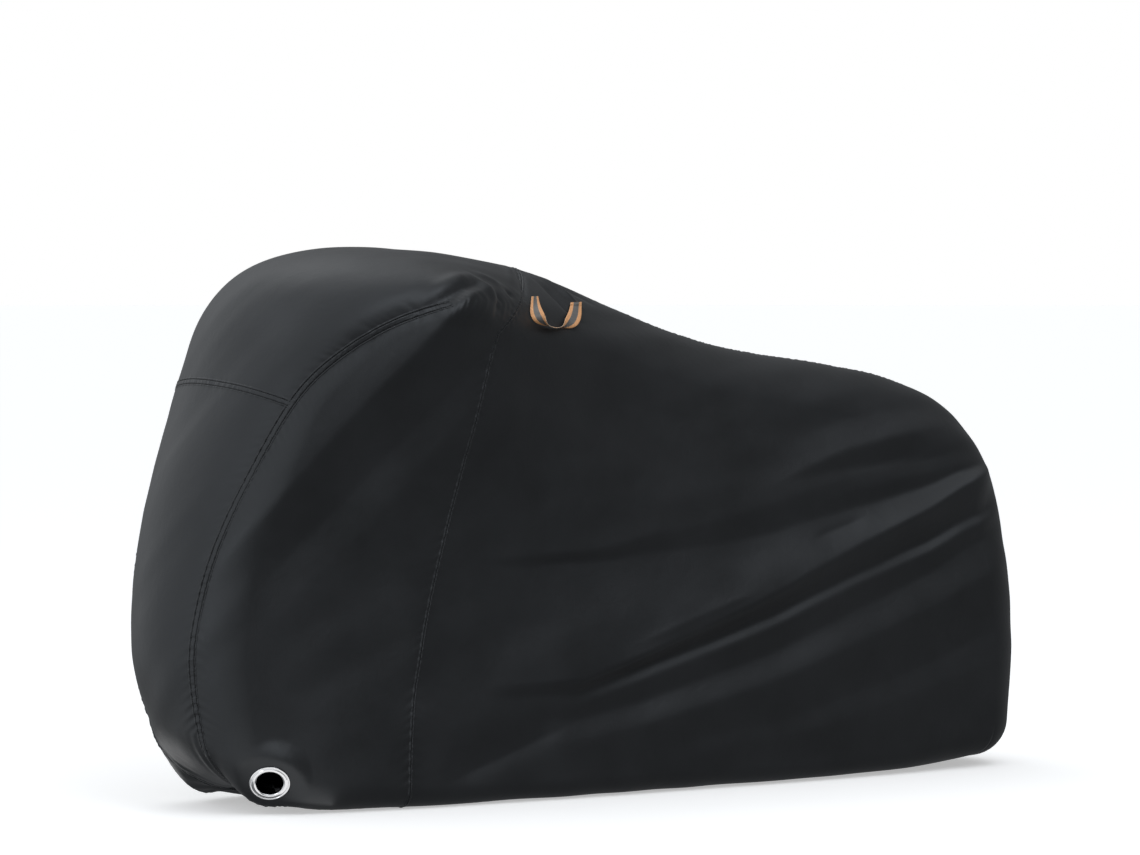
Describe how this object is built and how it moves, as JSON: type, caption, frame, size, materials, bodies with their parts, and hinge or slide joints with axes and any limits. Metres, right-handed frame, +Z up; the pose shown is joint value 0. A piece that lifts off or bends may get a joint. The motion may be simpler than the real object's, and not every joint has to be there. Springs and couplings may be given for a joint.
{
  "type": "bicycle cover",
  "caption": "Fitted cover for one bicycle: a hollow sewn shell with a raised hood over the handlebars, an elasticated hem, a reflective loop and lock eyelets.",
  "frame": {"origin": "the inner face of the hood's top, over the handlebars, where the bicycle under the cover carries it", "axes": "+X from the nose to the tail, +Y to the cover's right-hand side, +Z up"},
  "size_m": [1.9835, 0.658, 1.0797],
  "materials": {
    "cover_cloth": "coated black polyester, soft sheen",
    "reflective_tape": "orange tape with a silver-grey reflective stripe",
    "eyelet_metal": "polished nickel plate"
  },
  "bodies": {
    "root": {"hood": "cover_cloth", "front_gusset": "cover_cloth", "side_front_left": "cover_cloth", "side_front_right": "cover_cloth", "side_rear_left": "cover_cloth", "side_rear_right": "cover_cloth", "reflective_loop": "reflective_tape", "lock_eyelet_left": "eyelet_metal", "lock_eyelet_right": "eyelet_metal", "lock_washer_left": "eyelet_metal", "lock_washer_right": "eyelet_metal"}
  },
  "joints": []
}
